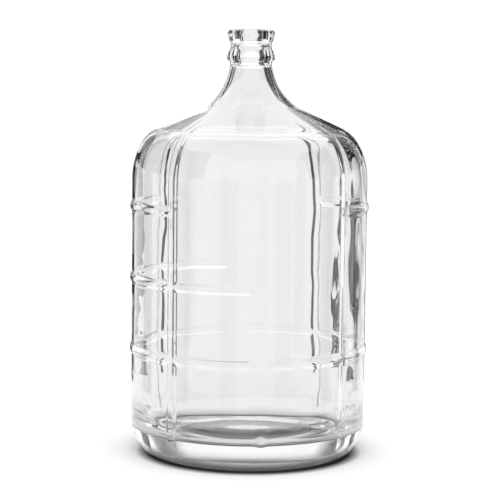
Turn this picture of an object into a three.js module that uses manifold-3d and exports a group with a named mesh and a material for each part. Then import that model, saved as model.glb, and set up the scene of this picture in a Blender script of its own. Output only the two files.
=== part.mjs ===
// A five-gallon glass carboy: one hollow bottle of clear glass, blown in a two-part mould.
// Millimetres, +Z up. The origin is the centre of the base, in the plane that the bottle stands on.
// The mould parts on the Y axis, so one seam faces -Y (the front) and the other +Y (the back).
// The body is round and stiffened by three horizontal hoops and four uprights, all raised from its surface.
import * as THREE from "three";
import { mergeVertices } from "three/addons/utils/BufferGeometryUtils.js";
import Module from "manifold-3d";

const wasm = await Module();
wasm.setup();

// Outside of the bottle
const HEIGHT = 486;
const BODY_RADIUS = 135.5;
const BEARING_RADIUS = 116; // outer edge of the flat ring that the bottle stands on
const BEARING_WIDTH = 8;
const PUSH_UP = 12; // rise of the underside at its centre
const FOOT = [8, 7]; // the rounded edge of the foot, from the flat ring up: its width and height
const HEEL_TOP = 30; // height where the wall becomes upright
const HEEL = [36, 30]; // the heel is part of an ellipse, from the foot up to the wall: its semi-axes
const SHOULDER_DEPTH = 172.5; // depth below the rim where the straight wall ends
const SHOULDER = [39, 62]; // the shoulder's turn is part of an ellipse: its semi-axes
const CONE_SLOPE = 25.2; // degrees: the straight slope between shoulder and neck
const NECK_SLANT = 15; // degrees from upright: the neck widens downwards to the flare
const FLARE_RADIUS = 60;
const NECK_RADIUS = 24.3;
const NECK_FOOT = 42; // depth below the rim where the neck starts to widen

// The finish, which is the glassmaker's word for the mouth's outside: [radius, depth below the rim],
// from the foot of the bead, over it, through the groove and up the lip to the flat rim.
const FINISH = [
  [24.3, 37.4], [26.2, 36], [27.6, 33.6], [27.4, 30.4], [26.1, 26], [24, 21.6],
  [23.5, 18.6], [24.1, 15.2], [25.4, 11.4], [26.5, 8], [27.2, 5], [26.9, 2.6], [25.6, 0.8], [23.8, 0],
];

// Inside of the bottle
const WALL = 4.5;
const BASE_WALL = 9; // at the centre of the base
// The turn from the floor, at its lowest, up into the wall: [radius, height]. The heel is thick glass.
const FLOOR_TURN = [
  [74, 11], [85, 12], [98, 15], [108, 19.5], [117, 26], [123, 33], [127.5, 41], [130, 50], [131, 62],
];
const INNER_FLARE_RADIUS = 64;
const INNER_NECK_RADIUS = 18.8;
// The bore: [radius, depth below the rim], from the neck up to a mouth that takes a tapered bung.
const BORE = [
  [17, 37], [16.9, 31], [16.8, 24], [16.4, 16], [14.5, 12], [14.2, 3], [14.8, 1], [16.4, 0],
];
const CUTTER_ABOVE_RIM = 5;

// Raised bands, each a flat top between two sloping sides
const RELIEF = 2;
const BAND_TOP = 3; // half the width of the flat top
const BAND_FOOT = 7; // half the width where the sides meet the body
const LOWEST_HOOP = 120;
const HOOP_PITCH = 82;
const HOOPS = [
  { height: LOWEST_HOOP, halves: [-1, 1] },
  { height: LOWEST_HOOP + HOOP_PITCH, halves: [-1] }, // the mould's +X half leaves a plain panel here
  { height: LOWEST_HOOP + 2 * HOOP_PITCH, halves: [-1, 1] },
];
const SEAM_GAP = 6; // the hoops stop this far from each seam
const HOOP_END = 5; // length over which a hoop's end slopes down
const UPRIGHT_ANGLES = [45, 135, 225, 315]; // degrees from the front seam
const UPRIGHT_FOOT = 14; // height where an upright starts to rise from the heel
const UPRIGHT_FULL = 40;
const UPRIGHT_FADE = 360; // height where it starts to sink into the shoulder
const UPRIGHT_TOP = 392;

// Angles where the outside has a corner, either side of each upright, in degrees
const TOP_ANGLE = THREE.MathUtils.radToDeg(BAND_TOP / BODY_RADIUS);
const FOOT_ANGLE = THREE.MathUtils.radToDeg(BAND_FOOT / BODY_RADIUS);
const GAP_ANGLE = THREE.MathUtils.radToDeg(SEAM_GAP / BODY_RADIUS);
const END_ANGLE = THREE.MathUtils.radToDeg((SEAM_GAP + HOOP_END) / BODY_RADIUS);
const STATIONS = [TOP_ANGLE, FOOT_ANGLE, 10, 18, 26, 33.5, 45 - END_ANGLE, 45 - GAP_ANGLE];
const CAVITY_SEGMENTS = 48;

// Points on an ellipse about [r, z], between two angles in degrees, counted from +r towards +z.
function arc([r, z], [semiR, semiZ], from, to, steps) {
  return Array.from({ length: steps + 1 }, (_, i) => {
    const angle = THREE.MathUtils.degToRad(from + ((to - from) * i) / steps);
    return new THREE.Vector2(r + semiR * Math.cos(angle), z + semiZ * Math.sin(angle));
  });
}

// The turn of the shoulder, the cone, the flare and the neck, each tangent to the next. The cone and
// the neck are straight lines, and the flare is the round that joins them.
function shoulderToNeck(wall, neckRadius, flareRadius, steps) {
  const [semiR, semiZ] = SHOULDER.map((semi) => semi - wall);
  const cone = THREE.MathUtils.degToRad(CONE_SLOPE);
  const neck = THREE.MathUtils.degToRad(NECK_SLANT);
  const turned = THREE.MathUtils.radToDeg(Math.atan2(semiZ, semiR * Math.tan(cone)));
  const centre = [BODY_RADIUS - SHOULDER[0], HEIGHT - SHOULDER_DEPTH];
  const turn = arc(centre, [semiR, semiZ], 0, turned, steps);
  const neckFoot = new THREE.Vector2(neckRadius, HEIGHT - NECK_FOOT);
  // The flare's centre lies one radius from both lines
  const neckSum = neckFoot.x + neckFoot.y * Math.tan(neck) + flareRadius / Math.cos(neck);
  const coneSum = turn.at(-1).y + turn.at(-1).x * Math.tan(cone) + flareRadius / Math.cos(cone);
  const flareX = (neckSum - coneSum * Math.tan(neck)) / (1 - Math.tan(cone) * Math.tan(neck));
  const flareZ = coneSum - flareX * Math.tan(cone);
  const flare = arc([flareX, flareZ], [flareRadius, flareRadius], 270 - CONE_SLOPE, 180 + NECK_SLANT, steps);
  const middle = turn.at(-1).clone().lerp(flare[0], 0.5);
  return [...turn, middle, ...flare, neckFoot];
}

// A shallow dome under or in the base, from the axis out to a radius.
function dome(centreHeight, edgeHeight, edgeRadius, steps) {
  return Array.from({ length: steps }, (_, i) => {
    const share = i / steps;
    return new THREE.Vector2(edgeRadius * share, edgeHeight + (centreHeight - edgeHeight) * (1 - share ** 2));
  });
}

const belowRim = ([radius, depth]) => new THREE.Vector2(radius, HEIGHT - depth);

function outsideOutline() {
  const innerEdge = BEARING_RADIUS - BEARING_WIDTH;
  const foot = arc([BEARING_RADIUS, FOOT[1]], FOOT, 270, 360, 3);
  const heelStart = THREE.MathUtils.radToDeg(Math.acos((BEARING_RADIUS + FOOT[0] - BODY_RADIUS) / HEEL[0] + 1));
  const heel = arc([BODY_RADIUS - HEEL[0], HEEL_TOP], HEEL, -heelStart, 0, 5);
  const hoopLevels = HOOPS.flatMap(({ height }) =>
    [-BAND_FOOT, -BAND_TOP, BAND_TOP, BAND_FOOT].map((up) => new THREE.Vector2(BODY_RADIUS, height + up)),
  );
  return [
    ...dome(PUSH_UP, 0, innerEdge, 4),
    new THREE.Vector2(innerEdge, 0),
    ...foot,
    ...heel.slice(1),
    ...hoopLevels,
    ...shoulderToNeck(0, NECK_RADIUS, FLARE_RADIUS, 7),
    ...FINISH.map(belowRim),
    new THREE.Vector2(0, HEIGHT),
  ];
}

function cavityOutline() {
  const [floorRadius, floorLow] = FLOOR_TURN[0];
  const mouth = BORE.at(-1)[0];
  return [
    ...dome(PUSH_UP + BASE_WALL, floorLow, floorRadius, 4),
    ...FLOOR_TURN.map(([radius, height]) => new THREE.Vector2(radius, height)),
    ...shoulderToNeck(WALL, INNER_NECK_RADIUS, INNER_FLARE_RADIUS, 7),
    ...BORE.map(belowRim),
    new THREE.Vector2(mouth, HEIGHT + CUTTER_ABOVE_RIM),
    new THREE.Vector2(0, HEIGHT + CUTTER_ABOVE_RIM),
  ];
}

// 1 on a band's flat top, 0 beyond its foot, and a straight slope between them.
function band(offset) {
  return THREE.MathUtils.clamp((BAND_FOOT - Math.abs(offset)) / (BAND_FOOT - BAND_TOP), 0, 1);
}

// How far the outside stands out at an angle from the front seam, in degrees, and a height.
function relief(angle, height) {
  const fromSeam = THREE.MathUtils.degToRad(Math.min(angle % 180, 180 - (angle % 180))) * BODY_RADIUS;
  const hoopEnd = THREE.MathUtils.clamp((fromSeam - SEAM_GAP) / HOOP_END, 0, 1);
  const half = angle < 180 ? 1 : -1;
  const hoop = Math.max(
    ...HOOPS.map(({ height: at, halves }) => (halves.includes(half) ? band(height - at) * hoopEnd : 0)),
  );
  const rise = THREE.MathUtils.clamp((height - UPRIGHT_FOOT) / (UPRIGHT_FULL - UPRIGHT_FOOT), 0, 1);
  const fade = THREE.MathUtils.clamp((UPRIGHT_TOP - height) / (UPRIGHT_TOP - UPRIGHT_FADE), 0, 1);
  const upright = Math.max(
    ...UPRIGHT_ANGLES.map((at) => band(THREE.MathUtils.degToRad(angle - at) * BODY_RADIUS)),
  );
  return RELIEF * Math.max(hoop, upright * rise * fade);
}

// The outside as a solid of revolution about Z, with the bands raised from it.
function outsideGeometry() {
  const outline = outsideOutline();
  const angles = UPRIGHT_ANGLES.flatMap((at) => [
    ...STATIONS.toReversed().map((station) => at - station),
    ...STATIONS.map((station) => at + station),
  ]);
  const geometry = new THREE.LatheGeometry(outline, angles.length);
  const position = geometry.getAttribute("position");
  for (let i = 0; i < position.count; i++) {
    const { x: radius, y: height } = outline[i % outline.length];
    const angle = angles[Math.floor(i / outline.length) % angles.length];
    const reach = radius === 0 ? 0 : radius + relief(angle, height);
    const turn = THREE.MathUtils.degToRad(angle);
    position.setXYZ(i, reach * Math.sin(turn), -reach * Math.cos(turn), height);
  }
  return geometry;
}

function cavityGeometry() {
  return new THREE.LatheGeometry(cavityOutline(), CAVITY_SEGMENTS).rotateX(Math.PI / 2);
}

// A closed three.js geometry as a manifold-3d solid.
function solid(geometry) {
  const bare = new THREE.BufferGeometry()
    .setAttribute("position", geometry.getAttribute("position"))
    .setIndex(geometry.getIndex());
  const merged = mergeVertices(bare, 1e-3);
  const mesh = { numProp: 3, vertProperties: merged.attributes.position.array, triVerts: merged.index.array };
  return new wasm.Manifold(new wasm.Mesh({ ...mesh, triVerts: new Uint32Array(mesh.triVerts) }));
}

function geometryOf(manifold) {
  const { vertProperties, triVerts } = manifold.getMesh();
  return new THREE.BufferGeometry()
    .setAttribute("position", new THREE.BufferAttribute(vertProperties, 3))
    .setIndex(new THREE.BufferAttribute(triVerts, 1));
}

const clearGlass = new THREE.MeshStandardMaterial({ color: 0xeef2f1, roughness: 0.03, metalness: 0 });
const bottle = new THREE.Mesh(geometryOf(solid(outsideGeometry()).subtract(solid(cavityGeometry()))), clearGlass);
bottle.name = "glass_bottle";

const carboy = new THREE.Group();
carboy.add(bottle);
export default carboy;
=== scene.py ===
# A five-gallon glass carboy: one hollow bottle of clear glass, in a white studio.
# Metres, +Z up. Angles round the bottle are counted from the front mould seam (-Y) towards +X.
import math

import bpy
import numpy as np
from mathutils import Matrix, Vector, noise


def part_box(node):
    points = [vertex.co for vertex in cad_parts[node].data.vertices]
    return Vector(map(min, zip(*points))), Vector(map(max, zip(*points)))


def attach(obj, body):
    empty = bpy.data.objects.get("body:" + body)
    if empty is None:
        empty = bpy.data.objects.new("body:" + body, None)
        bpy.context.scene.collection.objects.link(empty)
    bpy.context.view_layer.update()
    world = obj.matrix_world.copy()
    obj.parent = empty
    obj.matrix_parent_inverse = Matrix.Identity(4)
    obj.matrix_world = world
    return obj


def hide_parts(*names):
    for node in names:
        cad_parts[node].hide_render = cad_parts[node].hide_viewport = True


MM = 0.001

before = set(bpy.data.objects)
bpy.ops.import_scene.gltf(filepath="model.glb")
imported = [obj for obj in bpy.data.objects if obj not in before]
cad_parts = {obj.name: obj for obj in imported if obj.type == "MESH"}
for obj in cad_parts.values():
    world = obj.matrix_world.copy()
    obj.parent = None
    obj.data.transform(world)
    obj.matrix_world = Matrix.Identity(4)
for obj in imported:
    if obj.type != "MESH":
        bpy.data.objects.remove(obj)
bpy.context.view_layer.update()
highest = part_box("glass_bottle")[1]

# ---------------------------------------------------------------- sizes of the glass
RELIEF = 2 * MM  # how far the hoops and uprights stand out
HEIGHT = highest.z
BODY_RADIUS = highest.x - RELIEF
BEARING_RADIUS = 116 * MM  # outside of the flat ring that the bottle stands on
BEARING_WIDTH = 8 * MM
PUSH_UP = 12 * MM
FOOT = (8 * MM, 7 * MM)
HEEL_TOP = 30 * MM
HEEL = (36 * MM, 30 * MM)
SHOULDER_DEPTH = 172.5 * MM  # from the rim down to where the shoulder starts
SHOULDER = (39 * MM, 62 * MM)
CONE_SLOPE = math.radians(25.2)
NECK_SLANT = math.radians(15)
FLARE_RADIUS = 60 * MM
NECK_RADIUS = 24.3 * MM
NECK_FOOT = 42 * MM
# The mouth's outside, [radius, depth below the rim] in millimetres: bead, groove and lip
FINISH = [
    (24.3, 37.4), (26.2, 36), (27.6, 33.6), (27.4, 30.4), (26.1, 26), (24, 21.6), (23.5, 18.6),
    (24.1, 15.2), (25.4, 11.4), (26.5, 8), (27.2, 5), (26.9, 2.6), (25.6, 0.8), (23.8, 0),
]

WALL = 4.5 * MM
BASE_WALL = 9 * MM
# The turn from the floor up into the wall, [radius, height] in millimetres: the heel is thick glass
FLOOR_TURN = [
    (74, 11), (85, 12), (98, 15), (108, 19.5), (117, 26), (123, 33), (127.5, 41), (130, 50), (131, 62),
]
INNER_FLARE_RADIUS = 64 * MM
INNER_NECK_RADIUS = 18.8 * MM
# The bore, [radius, depth below the rim] in millimetres
BORE = [
    (17, 37), (16.9, 31), (16.8, 24), (16.4, 16), (14.5, 12), (14.2, 3), (14.8, 1), (16.4, 0),
]

HOOP_TOP = 1.2 * MM  # half the width of a hoop's flat top
UPRIGHT_CREST = 3 * MM  # the same for an upright
BAND_FOOT = 7 * MM  # half the width where its sides meet the body
HOOP_HEIGHTS = (120 * MM, 202 * MM, 284 * MM)
HALF_HOOP = HOOP_HEIGHTS[1]  # this hoop is only on the -X half
BROKEN_HOOP = HOOP_HEIGHTS[2]  # this one is left out between the uprights at the front and back
SEAM_GAP = 6 * MM  # the hoops stop short of the seams
HOOP_END = 9 * MM
SEAM_BUMP = 1.8 * MM  # where the front seam meets the mould of the base
SEAM_BUMP_HEIGHT = 37 * MM
SEAM_BUMP_RADIUS = 9 * MM
UPRIGHT_ANGLES = [math.radians(angle) for angle in (45, 135, 225, 315)]
UPRIGHT_FOOT = 14 * MM
UPRIGHT_FULL = 40 * MM
UPRIGHT_FADE = 360 * MM
UPRIGHT_TOP = 392 * MM

# The inside is uneven: [depth in millimetres, extra depth on the rippled side, size across, size up, seed]
WAVES = [
    (0.35, 0.25, 35 * MM, 260 * MM, 3.1),
    (0.25, 1, 24 * MM, 60 * MM, 11.7),
    (0.25, 0, 60 * MM, 14 * MM, 23.3),
]
RIPPLED_ANGLE = math.radians(88)
RIPPLED_FULL = math.radians(22.5)
RIPPLED_END = math.radians(45)
EVEN_BELOW = 10 * MM
UNEVEN_ABOVE = 60 * MM

# How finely the mesh is divided
ROW_STEP = 5 * MM
HOOP_ROW_STEP = 1.2 * MM
COLUMN_STEP = 5 * MM
UPRIGHT_COLUMN_STEP = 1.15 * MM
SEAM_COLUMN_STEP = 1.2 * MM
DOME_STEPS = 14
FOOT_STEPS = 6
HEEL_STEPS = 12
SHOULDER_STEPS = 26
CONE_STEPS = 9
FLARE_STEPS = 20
NECK_STEPS = 2
MOUTH_STEPS = 3
FLOOR_TURN_STEPS = 4
INNER_WALL_STEPS = 48


# ---------------------------------------------------------------- outlines
def arc(centre, semi, start, stop, steps):
    """Points on an ellipse between two angles, counted from +r towards +z."""
    angles = np.linspace(start, stop, steps + 1)
    return [(centre[0] + semi[0] * math.cos(a), centre[1] + semi[1] * math.sin(a)) for a in angles]


def straight(start, stop, steps):
    """The points between two points, without either of them."""
    shares = np.linspace(0, 1, steps + 2)[1:-1]
    return [(start[0] + (stop[0] - start[0]) * s, start[1] + (stop[1] - start[1]) * s) for s in shares]


def shoulder_to_neck(wall, neck_radius, flare_radius):
    """The turn of the shoulder, the cone, the flare and the neck, each tangent to the next."""
    semi_r, semi_z = SHOULDER[0] - wall, SHOULDER[1] - wall
    centre = (BODY_RADIUS - SHOULDER[0], HEIGHT - SHOULDER_DEPTH)
    turned = math.atan2(semi_z, semi_r * math.tan(CONE_SLOPE))
    turn = arc(centre, (semi_r, semi_z), 0, turned, SHOULDER_STEPS)
    neck_foot = (neck_radius, HEIGHT - NECK_FOOT)
    neck_sum = neck_foot[0] + neck_foot[1] * math.tan(NECK_SLANT) + flare_radius / math.cos(NECK_SLANT)
    cone_sum = turn[-1][1] + turn[-1][0] * math.tan(CONE_SLOPE) + flare_radius / math.cos(CONE_SLOPE)
    flare_r = neck_sum - cone_sum * math.tan(NECK_SLANT)
    flare_r = flare_r / (1 - math.tan(CONE_SLOPE) * math.tan(NECK_SLANT))
    flare_z = cone_sum - flare_r * math.tan(CONE_SLOPE)
    flare = arc(
        (flare_r, flare_z), (flare_radius, flare_radius),
        math.radians(270) - CONE_SLOPE, math.radians(180) + NECK_SLANT, FLARE_STEPS,
    )
    cone = straight(turn[-1], flare[0], CONE_STEPS)
    return turn + cone + flare + straight(flare[-1], neck_foot, NECK_STEPS) + [neck_foot]


def smooth_path(points, steps):
    """A Catmull-Rom curve through the points."""
    padded = [points[0]] + list(points) + [points[-1]]
    curve = []
    for before, start, stop, after in zip(padded, padded[1:], padded[2:], padded[3:]):
        for share in np.linspace(0, 1, steps, endpoint=False):
            weights = (
                -share + 2 * share**2 - share**3,
                2 - 5 * share**2 + 3 * share**3,
                share + 4 * share**2 - 3 * share**3,
                -(share**2) + share**3,
            )
            corners = (before, start, stop, after)
            curve.append(tuple(sum(w * c[k] for w, c in zip(weights, corners)) / 2 for k in (0, 1)))
    curve.append(tuple(points[-1]))
    return curve


def below_rim(rows):
    return [(radius * MM, HEIGHT - depth * MM) for radius, depth in rows]


def dome(centre_height, edge_height, edge_radius):
    """A shallow dome from the axis out to a radius, without its edge."""
    shares = np.linspace(0, 1, DOME_STEPS, endpoint=False)
    return [(edge_radius * s, edge_height + (centre_height - edge_height) * (1 - s * s)) for s in shares]


def body_levels(low, high):
    """Heights up the straight wall, close together across each hoop."""
    marks = [low]
    for hoop in HOOP_HEIGHTS:
        marks += [hoop - BAND_FOOT - MM, hoop + BAND_FOOT + MM]
    marks.append(high)
    levels = []
    for index, (start, stop) in enumerate(zip(marks, marks[1:])):
        spacing = HOOP_ROW_STEP if index % 2 else ROW_STEP
        count = max(1, round((stop - start) / spacing))
        levels += list(np.linspace(start, stop, count, endpoint=False))
    return levels


def outside_outline():
    """From the middle of the base's underside out and up to the rim."""
    inner_edge = BEARING_RADIUS - BEARING_WIDTH
    foot = arc((BEARING_RADIUS, FOOT[1]), FOOT, -math.pi / 2, 0, FOOT_STEPS)
    heel_start = math.acos((BEARING_RADIUS + FOOT[0] - BODY_RADIUS) / HEEL[0] + 1)
    heel = arc((BODY_RADIUS - HEEL[0], HEEL_TOP), HEEL, -heel_start, 0, HEEL_STEPS)
    wall = [(BODY_RADIUS, level) for level in body_levels(HEEL_TOP, HEIGHT - SHOULDER_DEPTH)]
    points = dome(PUSH_UP, 0, inner_edge) + [(inner_edge, 0), (inner_edge + BEARING_WIDTH / 2, 0)]
    points += foot + heel[1:] + wall[1:] + shoulder_to_neck(0, NECK_RADIUS, FLARE_RADIUS)
    return points + smooth_path(below_rim(FINISH), MOUTH_STEPS)


def inside_outline():
    """From the rim down the bore and the wall to the middle of the floor."""
    inner_radius = BODY_RADIUS - WALL
    points = smooth_path(below_rim(BORE), MOUTH_STEPS)[::-1]
    points += shoulder_to_neck(WALL, INNER_NECK_RADIUS, INNER_FLARE_RADIUS)[::-1]
    widest = FLOOR_TURN[-1][0]
    floor_turn = smooth_path([(r / widest * inner_radius, z * MM) for r, z in FLOOR_TURN], FLOOR_TURN_STEPS)
    points += straight((inner_radius, HEIGHT - SHOULDER_DEPTH), floor_turn[-1], INNER_WALL_STEPS)
    points += floor_turn[::-1]
    floor_radius, floor_height = FLOOR_TURN[0]
    return points + dome(PUSH_UP + BASE_WALL, floor_height * MM, floor_radius * MM)[::-1]


# ---------------------------------------------------------------- bands and uneven glass
def smoothstep(value):
    value = np.clip(value, 0, 1)
    return value * value * (3 - 2 * value)


def band(offset, top):
    """1 on a band's flat top, 0 beyond its foot, with rounded sides."""
    return smoothstep((BAND_FOOT - np.abs(offset)) / (BAND_FOOT - top))


def arc_offset(angle, centre):
    """Signed distance round the body from one angle to another."""
    turn = (angle - centre + math.pi) % (2 * math.pi) - math.pi
    return turn * BODY_RADIUS


def relief(angle, height):
    """How far the hoops and uprights stand out at a height, at each angle."""
    from_seam = np.minimum(angle % math.pi, math.pi - angle % math.pi) * BODY_RADIUS
    hoop_end = smoothstep((from_seam - SEAM_GAP) / HOOP_END)
    hoops = np.zeros_like(angle)
    for level in HOOP_HEIGHTS:
        here = band(height - level, HOOP_TOP) * hoop_end
        if level == HALF_HOOP:
            here = np.where(angle > math.pi, here, 0)
        if level == BROKEN_HOOP:
            here = np.where(from_seam < UPRIGHT_ANGLES[0] * BODY_RADIUS, 0, here)
        hoops = np.maximum(hoops, here)
    rise = smoothstep((height - UPRIGHT_FOOT) / (UPRIGHT_FULL - UPRIGHT_FOOT))
    fade = smoothstep((UPRIGHT_TOP - height) / (UPRIGHT_TOP - UPRIGHT_FADE))
    uprights = np.zeros_like(angle)
    for centre in UPRIGHT_ANGLES:
        uprights = np.maximum(uprights, band(arc_offset(angle, centre), UPRIGHT_CREST))
    return RELIEF * np.maximum(hoops, uprights * rise * fade)


def wave(angle, height, across, up, seed):
    """Smooth noise on the body's surface, with a size across and a size up in metres."""
    radius = BODY_RADIUS / across
    return np.array([
        noise.noise(Vector((radius * math.sin(a), radius * math.cos(a), height / up + seed)))
        for a in angle
    ])


def outer_radii(angles, radius, height):
    bump = np.hypot(arc_offset(angles, 0), height - SEAM_BUMP_HEIGHT) / SEAM_BUMP_RADIUS
    return radius + relief(angles, height) + SEAM_BUMP * smoothstep(1 - bump)


def inner_radii(angles, radius, height):
    """The wall is uneven in proportion to its width, and most of all on the rippled +X side."""
    side = smoothstep((RIPPLED_END - np.abs(angles - RIPPLED_ANGLE)) / (RIPPLED_END - RIPPLED_FULL))
    uneven = sum(
        (depth + extra * side) * wave(angles, height, across, up, seed)
        for depth, extra, across, up, seed in WAVES
    )
    share = min(radius / BODY_RADIUS, 1) ** 2
    return radius - MM * share * uneven * smoothstep((height - EVEN_BELOW) / (UNEVEN_ABOVE - EVEN_BELOW))


# ---------------------------------------------------------------- the bottle
def around():
    """Angles of the mesh's columns, close together across the uprights and beside the seams."""
    marks = []
    half_upright = (BAND_FOOT + MM) / BODY_RADIUS
    half_seam = (SEAM_GAP + HOOP_END + MM) / BODY_RADIUS
    for centre in UPRIGHT_ANGLES:
        marks.append((centre - half_upright, centre + half_upright, UPRIGHT_COLUMN_STEP))
    for centre in (0, math.pi):
        marks.append((centre - half_seam, centre + half_seam, SEAM_COLUMN_STEP))
    marks.sort()
    angles = []
    for index, (start, stop, spacing) in enumerate(marks):
        count = round((stop - start) * BODY_RADIUS / spacing)
        angles += list(np.linspace(start, stop, count, endpoint=False))
        next_start = marks[index + 1][0] if index + 1 < len(marks) else marks[0][0] + 2 * math.pi
        count = round((next_start - stop) * BODY_RADIUS / COLUMN_STEP)
        angles += list(np.linspace(stop, next_start, count, endpoint=False))
    return np.array(angles) % (2 * math.pi)


def lathe(name, rings, angles):
    """A closed mesh through rings of (radii, height). The first and last are single points on the axis."""
    columns = len(angles)
    sines, cosines = np.sin(angles), np.cos(angles)
    points, faces, rows = [], [], []
    for index, (radii, height) in enumerate(rings):
        rows.append(len(points))
        if index in (0, len(rings) - 1):
            points.append((0, 0, height))
        else:
            points += list(zip(radii * sines, -radii * cosines, np.full(columns, height)))
    last = len(rings) - 2
    for index, (low, high) in enumerate(zip(rows, rows[1:])):
        for column in range(columns):
            after = (column + 1) % columns
            if index == 0:
                faces.append((low, high + after, high + column))
            elif index == last:
                faces.append((low + column, low + after, high))
            else:
                faces.append((low + column, low + after, high + after, high + column))
    mesh = bpy.data.meshes.new(name)
    mesh.from_pydata(points, [], faces)
    mesh.validate()
    mesh.shade_smooth()
    made = bpy.data.objects.new(name, mesh)
    bpy.context.scene.collection.objects.link(made)
    return made


column_angles = around()
rings = [(outer_radii(column_angles, radius, height), height) for radius, height in outside_outline()]
rings += [(inner_radii(column_angles, radius, height), height) for radius, height in inside_outline()]
bottle = lathe("carboy_glass", rings, column_angles)


# ---------------------------------------------------------------- shader nodes
def grey(value):
    return (value, value, value, 1)


def add_node(tree, kind, values=None, **settings):
    """A new shader node, with its own settings and the values of its inputs."""
    made = tree.nodes.new("ShaderNode" + kind)
    for name, setting in settings.items():
        setattr(made, name, setting)
    for name, value in (values or {}).items():
        made.inputs[name].default_value = value
    return made


def map_range(tree, source, old, new):
    """A socket that runs over the new pair while the source runs over the old pair."""
    made = add_node(tree, "MapRange", {
        "From Min": old[0], "From Max": old[1], "To Min": new[0], "To Max": new[1],
    })
    tree.links.new(source, made.inputs["Value"])
    return made.outputs["Result"]


def multiply(tree, first, second):
    """The product of a socket and either a socket or a number."""
    made = add_node(tree, "Math", operation="MULTIPLY")
    tree.links.new(first, made.inputs[0])
    if isinstance(second, (int, float)):
        made.inputs[1].default_value = second
    else:
        tree.links.new(second, made.inputs[1])
    return made.outputs[0]


def grey_ramp(tree, source, stops):
    """A colour ramp through grey stops of [position, grey]."""
    made = add_node(tree, "ValToRGB")
    elements = made.color_ramp.elements
    while len(elements) < len(stops):
        elements.new(1)
    for element, (position, value) in zip(elements, stops):
        element.position = position
        element.color = grey(value)
    tree.links.new(source, made.inputs[0])
    return made.outputs[0]


def from_axis(tree, scale, shift):
    """The distance from a vertical axis, which is shifted towards -Y, times a scale."""
    position = add_node(tree, "NewGeometry")
    flat = add_node(
        tree, "VectorMath", {1: (scale, scale, 0), 2: (0, shift * scale, 0)}, operation="MULTIPLY_ADD",
    )
    distance = add_node(tree, "VectorMath", operation="LENGTH")
    tree.links.new(position.outputs["Position"], flat.inputs[0])
    tree.links.new(flat.outputs[0], distance.inputs[0])
    return distance.outputs["Value"]


# ---------------------------------------------------------------- glass
GLASS_IOR = 1.5
GLASS_TINT = (0.88, 0.885, 0.883, 1)
# The foot, outside the ring that the bottle stands on, is painted near-black as a painted contact shadow,
# and is dull
FOOT_SHADE_START = (BEARING_RADIUS + 0.5 * MM, BEARING_RADIUS + 2 * MM)
FOOT_SHADE_HEIGHTS = (3 * MM, 20 * MM)
FOOT_SHADE_TINT = grey(0.001)
FOOT_ROUGHNESS = 0.4
# Light for the floor passes straight through, less of it through the thick heel
HEEL_HEIGHTS = (6 * MM, 34 * MM)
PASSED_LIGHT = (0.12, 0.95)

glass = bpy.data.materials.new("clear_glass")
glass.use_nodes = True
tree = glass.node_tree
tree.nodes.clear()
output = add_node(tree, "OutputMaterial")
body = add_node(tree, "BsdfPrincipled", {"IOR": GLASS_IOR, "Transmission Weight": 1})
position = add_node(tree, "NewGeometry")
parts = add_node(tree, "SeparateXYZ")
tree.links.new(position.outputs["Position"], parts.inputs[0])
# The mask of the painted contact shadow on the foot's glass; the same mask makes the foot dull
outside = map_range(tree, from_axis(tree, 1, 0), FOOT_SHADE_START, (0, 1))
low = map_range(tree, parts.outputs["Z"], FOOT_SHADE_HEIGHTS, (1, 0))
foot_shade_and_dullness = multiply(tree, outside, low)
tone = add_node(tree, "Mix", {"A": GLASS_TINT, "B": FOOT_SHADE_TINT}, data_type="RGBA")
tree.links.new(foot_shade_and_dullness, tone.inputs["Factor"])
tree.links.new(tone.outputs["Result"], body.inputs["Base Color"])
tree.links.new(multiply(tree, foot_shade_and_dullness, FOOT_ROUGHNESS), body.inputs["Roughness"])
clear = add_node(tree, "BsdfTransparent")
passed = map_range(tree, parts.outputs["Z"], HEEL_HEIGHTS, PASSED_LIGHT)
tree.links.new(passed, clear.inputs["Color"])
rays = add_node(tree, "LightPath")
either = add_node(tree, "Math", operation="MAXIMUM")
tree.links.new(rays.outputs["Is Shadow Ray"], either.inputs[0])
tree.links.new(rays.outputs["Is Diffuse Ray"], either.inputs[1])
mix = add_node(tree, "MixShader")
tree.links.new(either.outputs[0], mix.inputs[0])
tree.links.new(body.outputs[0], mix.inputs[1])
tree.links.new(clear.outputs[0], mix.inputs[2])
tree.links.new(mix.outputs[0], output.inputs["Surface"])
bottle.data.materials.append(glass)

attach(bottle, "root")
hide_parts("glass_bottle")


# ---------------------------------------------------------------- studio
FLOOR_RADIUS = 8
FLOOR_SIDES = 96
FLOOR_LEVEL = -0.3 * MM
FLOOR_WHITE = 0.93
RAMP_SPAN = 200 * MM  # a ramp by distance from the axis ends here
# The floor's grey, a painted shadow, by [distance from its middle in millimetres, grey]: dark under the
# bottle and black where the bottle touches it
FLOOR_SHADE = [
    (0, 0.12), (80, 0.12), (96, 0.3), (105, 0.3), (109, 0.05), (116.5, 0.04), (122, 0.35),
    (131, FLOOR_WHITE),
]
SHADE_SHIFT = 14.5 * MM  # the shadow lies a little to the front

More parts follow.
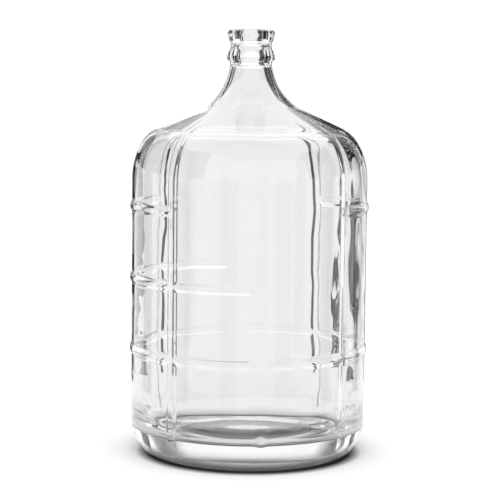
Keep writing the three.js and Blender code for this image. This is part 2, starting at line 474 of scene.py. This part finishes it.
# Cards stand round the bottle, and the glass bends and mirrors them into its dark lines.
# Their edges are compass bearings from the bottle, clockwise from +Y, in degrees.
CARDS = [
    (29, 36), (61.5, 75), (106.5, 120), (150, 163.5), (196.5, 210), (240, 253.5), (285, 298.5), (326, 344),
]
MOTTLED_CARD = (22.5, 29)
NECK_CARDS = [
    (19, 43.5), (46.5, 88.5), (91.5, 133.5), (226.5, 268.5), (271.5, 313.5), (316.5, 334), (340, 347),
]
CARD_STEPS = 8
CARD_FOOT = 0.5
CARD_DISTANCE = 0.6
CARD_HEIGHT = 0.37
NECK_CARD_DISTANCE = 0.61
NECK_BAND = (0.367, 0.8)  # heights of the cards that only the neck and shoulder see
PALE_WITHIN = 30  # a card this close to the bearing of -Y, in degrees, is pale
BLACK = 0.012
PALE = 0.6
CARD_ROUGHNESS = 0.6
MOTTLE_SCALE = 9
MOTTLE_DETAIL = 2
MOTTLE_STOPS = [(0.55, 0), (0.62, 1)]

# A lit ring lies under the heel, as the thick glass gathers light there
RING = (80 * MM, 200 * MM)
RING_LEVEL = -0.2 * MM
RING_STEP = 10  # degrees
RING_GLOW = [(80, 0), (86, 0.1), (94, 0.9), (104, 1.1)]  # [distance from the axis in millimetres, light]
# The ring is dimmed at two places: [share of a turn, share of light]
RING_DIM = [
    (0, 1), (0.02, 1), (0.045, 0.25), (0.085, 0.3), (0.12, 1), (0.36, 1), (0.395, 0.25), (0.44, 0.2),
    (0.47, 1),
]

# The sky that the glass sees, [height of the direction, white]; the camera sees an even white
SKY = [(0, 1.07), (0.04, 1.12), (0.12, 1.35), (0.4, 1.35), (0.6, 1.15), (0.85, 1.1), (1, 1.2)]
BACKDROP = 1.1


def plain_material(name, value, roughness):
    material = bpy.data.materials.new(name)
    material.use_nodes = True
    shader = material.node_tree.nodes["Principled BSDF"]
    shader.inputs["Base Color"].default_value = grey(value)
    shader.inputs["Roughness"].default_value = roughness
    shader.inputs["Specular IOR Level"].default_value = 0
    return material


def by_distance(tree, stops, shift):
    """A grey ramp by distance from an axis, which is shifted towards the front."""
    distance = from_axis(tree, 1 / RAMP_SPAN, shift)
    return grey_ramp(tree, distance, [(radius * MM / RAMP_SPAN, value) for radius, value in stops])


def on_stage(name, points, faces, material):
    mesh = bpy.data.meshes.new(name)
    mesh.from_pydata(points, [], faces)
    mesh.materials.append(material)
    made = bpy.data.objects.new(name, mesh)
    bpy.context.scene.collection.objects.link(made)
    return made


def sector(edges, rows, material):
    """A curved card about the bottle, through rows of (distance, height), that only the glass sees."""
    turns = np.radians(np.linspace(edges[0], edges[1], CARD_STEPS + 1))
    corners = [(d * math.sin(a), d * math.cos(a), height) for d, height in rows for a in turns]
    above = len(turns)
    quads = [
        (first, first + 1, first + above + 1, first + above)
        for row in range(len(rows) - 1)
        for first in range(row * above, row * above + CARD_STEPS)
    ]
    card = on_stage("card", corners, quads, material)
    card.visible_camera = False
    card.visible_shadow = False
    card.visible_diffuse = False


floor_with_painted_shadow = plain_material("floor_with_painted_shadow", FLOOR_WHITE, 1)
tree = floor_with_painted_shadow.node_tree
# The floor's colour carries the painted shadow, a ramp by distance from its middle
tree.links.new(
    by_distance(tree, FLOOR_SHADE, SHADE_SHIFT),
    tree.nodes["Principled BSDF"].inputs["Base Color"],
)
turns = np.linspace(0, 2 * math.pi, FLOOR_SIDES, endpoint=False)
rim = [(FLOOR_RADIUS * math.cos(a), FLOOR_RADIUS * math.sin(a), FLOOR_LEVEL) for a in turns]
on_stage("floor", rim, [range(FLOOR_SIDES)], floor_with_painted_shadow)

black = plain_material("card_black", BLACK, CARD_ROUGHNESS)
pale = plain_material("card_pale", PALE, CARD_ROUGHNESS)
mottled = plain_material("card_mottled", BLACK, CARD_ROUGHNESS)
tree = mottled.node_tree
blotches = add_node(tree, "TexNoise", {"Scale": MOTTLE_SCALE, "Detail": MOTTLE_DETAIL})
tree.links.new(
    grey_ramp(tree, blotches.outputs[0], MOTTLE_STOPS),
    tree.nodes["Principled BSDF"].inputs["Base Color"],
)
for edges in CARDS:
    shade = pale if abs(sum(edges) / 2 - 180) < PALE_WITHIN else black
    sector(edges, [(CARD_FOOT, 0), (CARD_DISTANCE, 0), (CARD_DISTANCE, CARD_HEIGHT)], shade)
sector(MOTTLED_CARD, [(CARD_DISTANCE, 0), (CARD_DISTANCE, CARD_HEIGHT)], mottled)
for edges in NECK_CARDS:
    sector(edges, [(NECK_CARD_DISTANCE, height) for height in NECK_BAND], black)

lit = plain_material("ring_lit", 0, 1)
tree = lit.node_tree
position = add_node(tree, "NewGeometry")
turned = add_node(tree, "TexGradient", gradient_type="RADIAL")
glow = add_node(tree, "Mix", {"Factor": 1}, data_type="RGBA", blend_type="MULTIPLY")
tree.links.new(position.outputs["Position"], turned.inputs["Vector"])
tree.links.new(by_distance(tree, RING_GLOW, 0), glow.inputs["A"])
tree.links.new(grey_ramp(tree, turned.outputs[0], RING_DIM), glow.inputs["B"])
shader = tree.nodes["Principled BSDF"]
shader.inputs["Emission Strength"].default_value = 1
tree.links.new(glow.outputs["Result"], shader.inputs["Emission Color"])
for start in range(0, 360, RING_STEP):
    sector((start, start + RING_STEP), [(distance, RING_LEVEL) for distance in RING], lit)

world = bpy.data.worlds.new("white_studio")
bpy.context.scene.world = world
world.use_nodes = True
tree = world.node_tree
direction = add_node(tree, "TexCoord")
parts = add_node(tree, "SeparateXYZ")
rays = add_node(tree, "LightPath")
pick = add_node(tree, "Mix", {"B": grey(BACKDROP)}, data_type="RGBA")
tree.links.new(direction.outputs["Generated"], parts.inputs[0])
tree.links.new(grey_ramp(tree, parts.outputs["Z"], SKY), pick.inputs["A"])
tree.links.new(rays.outputs["Is Camera Ray"], pick.inputs["Factor"])
tree.links.new(pick.outputs["Result"], tree.nodes["Background"].inputs["Color"])

# ---------------------------------------------------------------- camera
CAMERA_DISTANCE = 2.05
CAMERA_HEIGHT = 448.6 * MM
CAMERA_BEARING = math.radians(-6.5)
CAMERA_TILT = math.radians(6.02)
CAMERA_ROLL = math.radians(0.6)
CAMERA_YAW = math.radians(-0.032)
SENSOR_WIDTH = 36
LENS = 128.2
BOUNCES = 96  # a ray through the heel is turned back inside the glass many times
TRANSPARENT_BOUNCES = 24

camera_data = bpy.data.cameras.new("camera")
camera_data.sensor_width = SENSOR_WIDTH
camera_data.lens = LENS
camera = bpy.data.objects.new("camera", camera_data)
bpy.context.scene.collection.objects.link(camera)
move = Matrix.Translation((
    CAMERA_DISTANCE * math.sin(CAMERA_BEARING), -CAMERA_DISTANCE * math.cos(CAMERA_BEARING), CAMERA_HEIGHT,
))
turn_to_bottle = Matrix.Rotation(CAMERA_BEARING + CAMERA_YAW, 4, "Z")
turn_down = Matrix.Rotation(math.pi / 2 - CAMERA_TILT, 4, "X")
camera.matrix_world = move @ turn_to_bottle @ turn_down @ Matrix.Rotation(CAMERA_ROLL, 4, "Z")

scene = bpy.context.scene
scene.camera = camera
scene.view_settings.view_transform = "Standard"
scene.cycles.max_bounces = BOUNCES
scene.cycles.transmission_bounces = BOUNCES
scene.cycles.glossy_bounces = BOUNCES
scene.cycles.transparent_max_bounces = TRANSPARENT_BOUNCES
